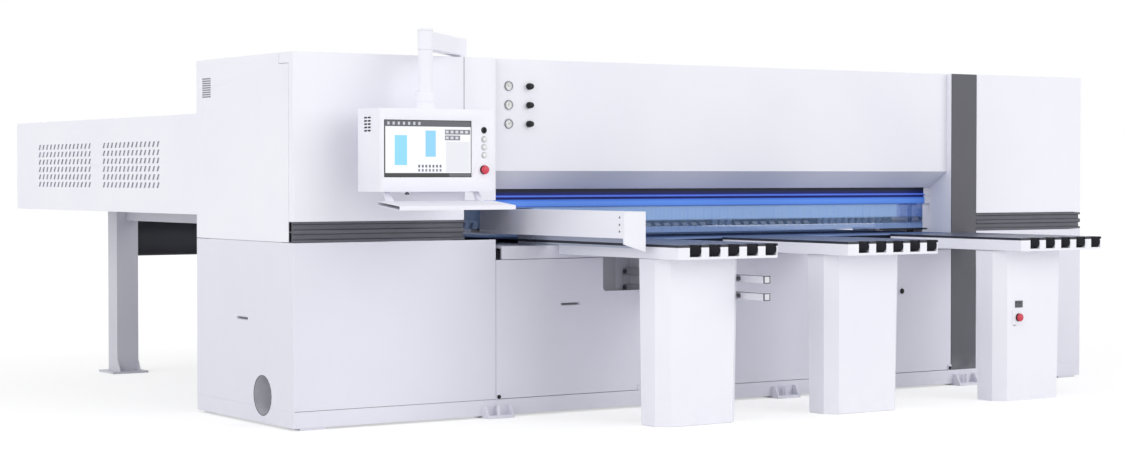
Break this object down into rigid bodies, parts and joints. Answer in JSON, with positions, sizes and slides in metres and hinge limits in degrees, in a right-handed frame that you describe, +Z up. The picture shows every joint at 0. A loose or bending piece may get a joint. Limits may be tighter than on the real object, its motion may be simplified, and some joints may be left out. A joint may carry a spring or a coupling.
{
  "type": "beam saw",
  "caption": "Panel-sizing beam saw with a hooded cutting line, air-cushion front tables, a swing-arm terminal, and a rear pusher bridge running between two covered side guides.",
  "frame": {"origin": "middle of the bounding box on the floor, between the front edge of the tables and the rear edge of the side covers", "axes": "+X to the operator's right along the cutting line, +Y from the operator towards the rear of the machine, +Z up"},
  "size_m": [5.718, 5.13, 2.071],
  "materials": {
    "white_panel": "fine texture powder coat, semi-gloss",
    "dark_panel": "dark grey powder coat, satin",
    "dark_structure": "anthracite paint, satin",
    "grip_rail": "grey anodised, satin",
    "machined_steel": "machined, light oil film",
    "blade_steel": "ground, satin",
    "pressed_aluminium": "clear anodised",
    "table_top": "phenolic resin sheet, smooth",
    "header_blue": "blue moulded profile, glossy",
    "curtain_strip": "clear blue PVC strips",
    "roller_rubber": "black rubber",
    "black_plastic": "black, satin",
    "red_button": "red, glossy",
    "pale_plastic": "pale, glossy",
    "screen_glass": "black glass, glossy",
    "duct_metal": "dark, satin"
  },
  "bodies": {
    "machine": {"base_frame": "white_panel", "main_frame": "white_panel", "left_lower_cabinet": "white_panel", "left_upper_cabinet": "white_panel", "left_upper_cover": "white_panel", "left_rail": "grip_rail", "right_lower_cabinet": "white_panel", "right_upper_cabinet": "white_panel", "right_rail": "grip_rail", "dust_outlet": "duct_metal", "machine_table": "table_top", "rear_panel": "white_panel", "lower_panel_middle": "white_panel", "hood": "white_panel", "column": "dark_panel", "curtain_header": "header_blue", "strip_curtain": "curtain_strip", "side_fence": "white_panel", "tie_arms": "dark_structure", "rear_cover_left": "white_panel", "rear_cover_right": "white_panel", "rear_stand_left": "white_panel", "rear_stand_right": "white_panel", "rear_cross_beam": "dark_structure", "rear_track": "machined_steel", "gauge_set": "pale_plastic", "air_table_1": "table_top", "pedestal_1": "white_panel", "air_table_2": "table_top", "pedestal_2": "white_panel", "air_table_3": "table_top", "pedestal_3": "white_panel"},
    "panel_left": {"lower_panel_left": "white_panel"},
    "panel_right": {"lower_panel_right": "white_panel"},
    "swing_arm": {"swing_arm": "white_panel"},
    "terminal": {"drop_pipe": "white_panel", "terminal_housing": "white_panel", "display": "screen_glass", "keyboard_tray": "white_panel"},
    "terminal_stop": {"terminal_stop_button": "red_button"},
    "selector": {"selector_switch": "black_plastic"},
    "pedestal_stop": {"pedestal_stop_button": "red_button"},
    "saw_carriage": {"saw_carriage": "machined_steel"},
    "saw_arm": {"saw_arm": "machined_steel"},
    "main_blade": {"main_blade": "blade_steel"},
    "scoring_blade": {"scoring_blade": "blade_steel"},
    "pressure_beam": {"pressure_beam": "pressed_aluminium"},
    "pusher": {"pusher_beam": "dark_structure"},
    "gripper_jaws": {"gripper_jaws": "machined_steel"},
    "second_pusher": {"second_pusher": "dark_structure"},
    "side_aligner": {"side_aligner": "black_plastic"},
    "rollers_1": {"table_rollers_1": "roller_rubber"},
    "regulator_1": {"regulator_knob_1": "black_plastic"},
    "push_button_1": {"push_button_1": "pale_plastic"},
    "rollers_2": {"table_rollers_2": "roller_rubber"},
    "regulator_2": {"regulator_knob_2": "black_plastic"},
    "push_button_2": {"push_button_2": "pale_plastic"},
    "rollers_3": {"table_rollers_3": "roller_rubber"},
    "regulator_3": {"regulator_knob_3": "black_plastic"},
    "push_button_3": {"push_button_3": "pale_plastic"}
  },
  "joints": [
    {"name": "panel_left_tilt", "type": "hinge", "parent": "machine", "child": "panel_left", "pos_m": [-1.151, -1.455, 0.104], "axis": [1, 0, 0], "range_deg": [0, 25]},
    {"name": "panel_right_tilt", "type": "hinge", "parent": "machine", "child": "panel_right", "pos_m": [1.299, -1.455, 0.104], "axis": [1, 0, 0], "range_deg": [0, 25]},
    {"name": "rollers_1_spin", "type": "hinge", "parent": "machine", "child": "rollers_1", "pos_m": [-0.901, -2.535, 0.927], "axis": [1, 0, 0], "continuous": true},
    {"name": "rollers_2_spin", "type": "hinge", "parent": "machine", "child": "rollers_2", "pos_m": [0.241, -2.535, 0.927], "axis": [1, 0, 0], "continuous": true},
    {"name": "rollers_3_spin", "type": "hinge", "parent": "machine", "child": "rollers_3", "pos_m": [1.537, -2.535, 0.927], "axis": [1, 0, 0], "continuous": true},
    {"name": "regulator_1_turn", "type": "hinge", "parent": "machine", "child": "regulator_1", "pos_m": [-1.396, -1.425, 1.803], "axis": [0, 1, 0], "range_deg": [-135, 135]},
    {"name": "regulator_2_turn", "type": "hinge", "parent": "machine", "child": "regulator_2", "pos_m": [-1.396, -1.425, 1.7], "axis": [0, 1, 0], "range_deg": [-135, 135]},
    {"name": "regulator_3_turn", "type": "hinge", "parent": "machine", "child": "regulator_3", "pos_m": [-1.396, -1.425, 1.597], "axis": [0, 1, 0], "range_deg": [-135, 135]},
    {"name": "arm_swing", "type": "hinge", "parent": "machine", "child": "swing_arm", "pos_m": [-1.784, -1.305, 2.01], "axis": [0, 0, 1], "range_deg": [-5, 60]},
    {"name": "terminal_swivel", "type": "hinge", "parent": "swing_arm", "child": "terminal", "pos_m": [-2.25, -1.755, 2.01], "axis": [0, 0, 1], "range_deg": [-15, 25]},
    {"name": "terminal_stop_press", "type": "slide", "parent": "terminal", "child": "terminal_stop", "axis": [0, 1, 0], "range_m": [0, 0.006], "stiffness_N_per_m": 1500},
    {"name": "push_button_1_press", "type": "slide", "parent": "terminal", "child": "push_button_1", "axis": [0, 1, 0], "range_m": [0, 0.004], "stiffness_N_per_m": 800},
    {"name": "push_button_2_press", "type": "slide", "parent": "terminal", "child": "push_button_2", "axis": [0, 1, 0], "range_m": [0, 0.004], "stiffness_N_per_m": 800},
    {"name": "push_button_3_press", "type": "slide", "parent": "terminal", "child": "push_button_3", "axis": [0, 1, 0], "range_m": [0, 0.004], "stiffness_N_per_m": 800},
    {"name": "selector_turn", "type": "hinge", "parent": "terminal", "child": "selector", "pos_m": [-1.958, -1.86, 1.549], "axis": [0, 1, 0], "range_deg": [-45, 45]},
    {"name": "pedestal_stop_press", "type": "slide", "parent": "machine", "child": "pedestal_stop", "axis": [0, 1, 0], "range_m": [0, 0.006], "stiffness_N_per_m": 1500},
    {"name": "saw_travel", "type": "slide", "parent": "machine", "child": "saw_carriage", "axis": [1, 0, 0], "range_m": [0, 4.3]},
    {"name": "saw_lift", "type": "slide", "parent": "saw_carriage", "child": "saw_arm", "axis": [0, 0, 1], "range_m": [0, 0.105]},
    {"name": "main_blade_spin", "type": "hinge", "parent": "saw_arm", "child": "main_blade", "pos_m": [-2.159, -0.825, 0.7253], "axis": [0, 1, 0], "continuous": true},
    {"name": "scoring_blade_spin", "type": "hinge", "parent": "saw_arm", "child": "scoring_blade", "pos_m": [-1.829, -0.825, 0.775], "axis": [0, 1, 0], "continuous": true},
    {"name": "pressure_beam_lift", "type": "slide", "parent": "machine", "child": "pressure_beam", "axis": [0, 0, 1], "range_m": [-0.05, 0.04]},
    {"name": "pusher_travel", "type": "slide", "parent": "machine", "child": "pusher", "axis": [0, 1, 0], "range_m": [-1.4, 1.15]},
    {"name": "jaws_close", "type": "hinge", "parent": "pusher", "child": "gripper_jaws", "pos_m": [0.541, 0.8024, 1.062], "axis": [1, 0, 0], "range_deg": [0, 15]},
    {"name": "second_pusher_travel", "type": "slide", "parent": "machine", "child": "second_pusher", "axis": [0, 1, 0], "range_m": [-0.7, 1.8]},
    {"name": "side_aligner_travel", "type": "slide", "parent": "machine", "child": "side_aligner", "axis": [1, 0, 0], "range_m": [-2.7, 0]}
  ]
}
